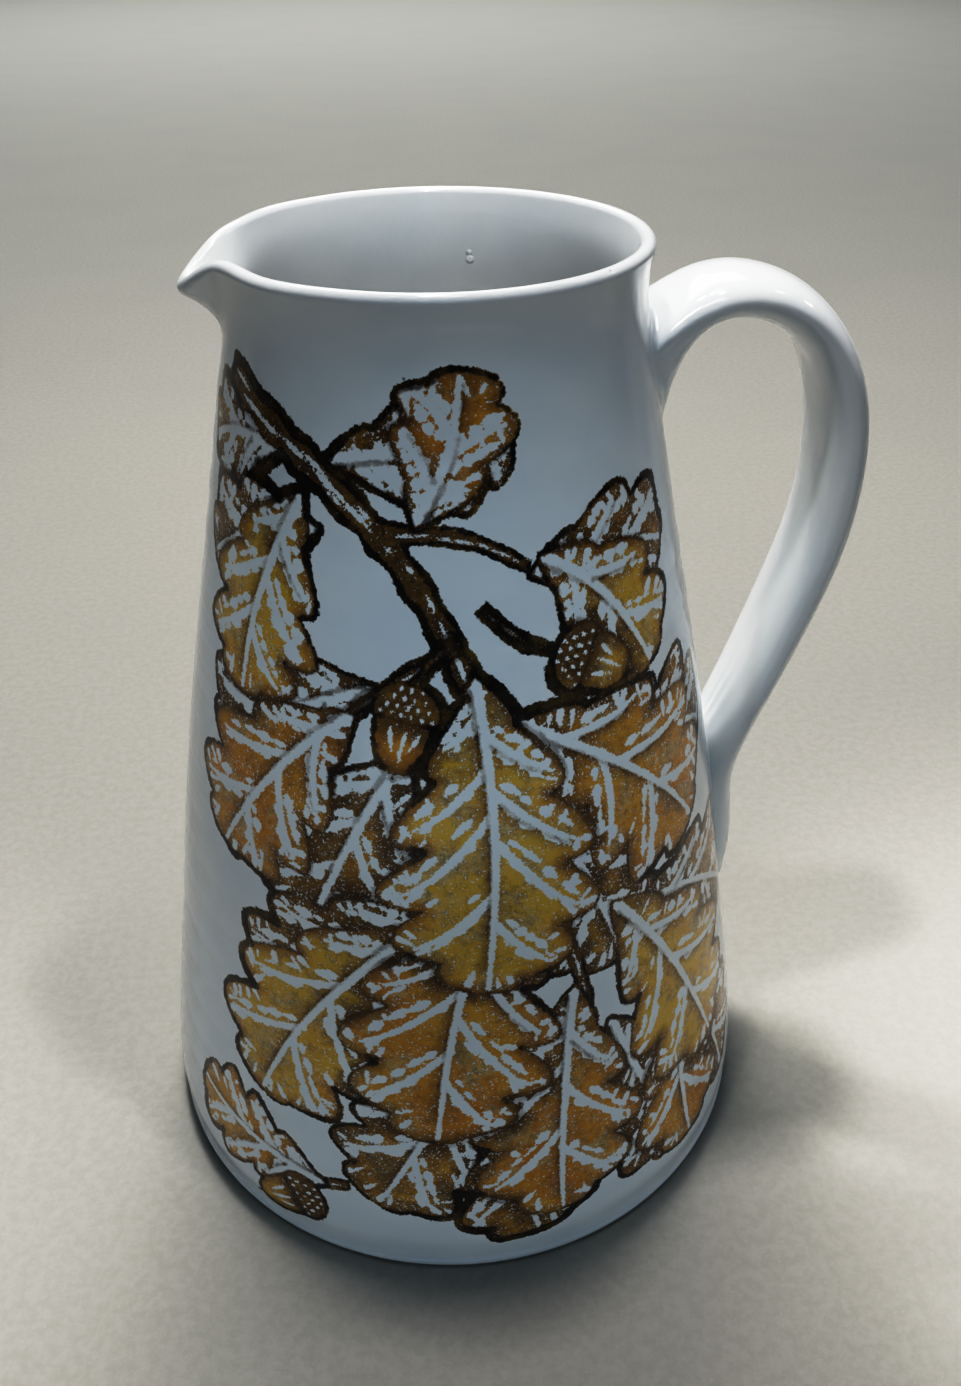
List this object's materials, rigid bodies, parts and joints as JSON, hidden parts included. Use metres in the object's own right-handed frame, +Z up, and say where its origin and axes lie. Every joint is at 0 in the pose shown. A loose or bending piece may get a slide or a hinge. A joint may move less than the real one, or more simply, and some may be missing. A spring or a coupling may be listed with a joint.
{
  "type": "glazed stoneware pitcher",
  "caption": "Tall glazed pitcher that tapers from a wide base to a rolled lip, with a pulled spout and a long strap handle opposite it, painted with autumn leaves.",
  "frame": {"origin": "centre of the base, on the plane it stands on", "axes": "+Z up along the axis of the thrown body; +X toward the handle; -X toward the pouring spout; -Y toward the viewer of the picture, the side that carries most of the painting"},
  "size_m": [0.1921, 0.1732, 0.25],
  "materials": {
    "painted_glaze": "glossy white glaze over ochre, rust and dark brown underglaze painting; bare clay under the foot",
    "white_glaze": "glossy white glaze",
    "slip": "slip joint under glossy white glaze"
  },
  "bodies": {
    "root": {"body": "painted_glaze", "handle": "white_glaze", "upper_slip_joint": "slip", "lower_slip_joint": "slip"}
  },
  "joints": []
}
